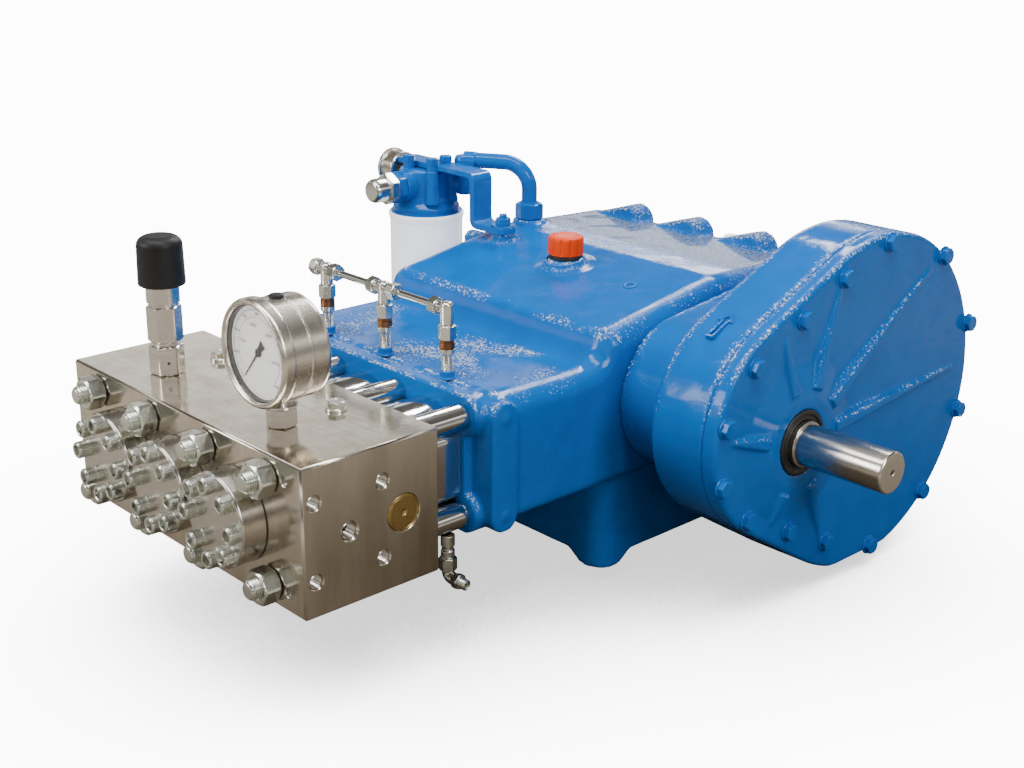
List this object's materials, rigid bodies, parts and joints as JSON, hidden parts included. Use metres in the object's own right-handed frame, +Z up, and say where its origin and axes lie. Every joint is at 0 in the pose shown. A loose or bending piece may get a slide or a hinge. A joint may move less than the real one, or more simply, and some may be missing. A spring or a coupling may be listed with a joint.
{
  "type": "high-pressure piston pump",
  "caption": "Horizontal plunger pump with a stainless fluid block, gauge, relief valve, oil filter and a geared drive shaft, for pumping liquid at high pressure",
  "frame": {"origin": "on the floor, at the centre of the four foundation bolt holes in the feet", "axes": "+Z up; +X along the drive shaft, the way its free end points; +Y from the fluid block towards the crankcase, so the valve covers face -Y"},
  "size_m": [0.8175, 0.8892, 0.393],
  "materials": {
    "blue_paint": "thick glossy machine enamel with orange peel over a cast surface",
    "stainless_block": "ground and milled stainless steel, satin",
    "zinc_steel": "bright zinc plated steel",
    "polished_steel": "turned and polished stainless steel",
    "brass_plug": "turned face, dull",
    "black_rubber": "matt black rubber",
    "orange_plastic": "moulded orange plastic, semi-gloss",
    "canister_white": "white enamelled sheet steel",
    "dial_white": "printed white dial",
    "clear_glass": "clear flat glass"
  },
  "bodies": {
    "pump": {"bleed_plugs": "polished_steel", "cover_screws": "zinc_steel", "crank_bearing_cover": "blue_paint", "crankcase_casting": "blue_paint", "drain_fitting": "zinc_steel", "filler_cap": "orange_plastic", "filler_seal": "black_rubber", "filter_bracket": "blue_paint", "filter_canister": "canister_white", "filter_gauge": "polished_steel", "filter_head": "blue_paint", "filter_port_plug": "zinc_steel", "fluid_block": "stainless_block", "gauge_case": "polished_steel", "gauge_dial": "dial_white", "gauge_glass": "clear_glass", "gauge_plug": "black_rubber", "gauge_stem": "polished_steel", "gear_case": "blue_paint", "gear_cover": "blue_paint", "oil_elbow": "zinc_steel", "oil_pipe": "blue_paint", "oil_pipe_nut": "blue_paint", "oil_risers": "zinc_steel", "oil_tee_left": "zinc_steel", "oil_tee_middle": "zinc_steel", "oil_tube_left": "zinc_steel", "oil_tube_right": "zinc_steel", "pinion_bearing_cover": "blue_paint", "plunger_housing_left": "polished_steel", "plunger_housing_middle": "polished_steel", "plunger_housing_right": "polished_steel", "rear_cover": "blue_paint", "relief_valve_body": "polished_steel", "relief_valve_cap": "black_rubber", "relief_valve_collar": "polished_steel", "shaft_seal": "black_rubber", "stud_sleeves": "polished_steel", "suction_plug": "brass_plug", "tie_studs": "zinc_steel", "valve_cover_left": "stainless_block", "valve_cover_middle": "stainless_block", "valve_cover_right": "stainless_block"},
    "shaft": {"drive_shaft": "polished_steel"}
  },
  "joints": [
    {"name": "shaft_spin", "type": "hinge", "parent": "pump", "child": "shaft", "pos_m": [0.4135, -0.0663, 0.1768], "axis": [1, 0, 0], "continuous": true}
  ]
}
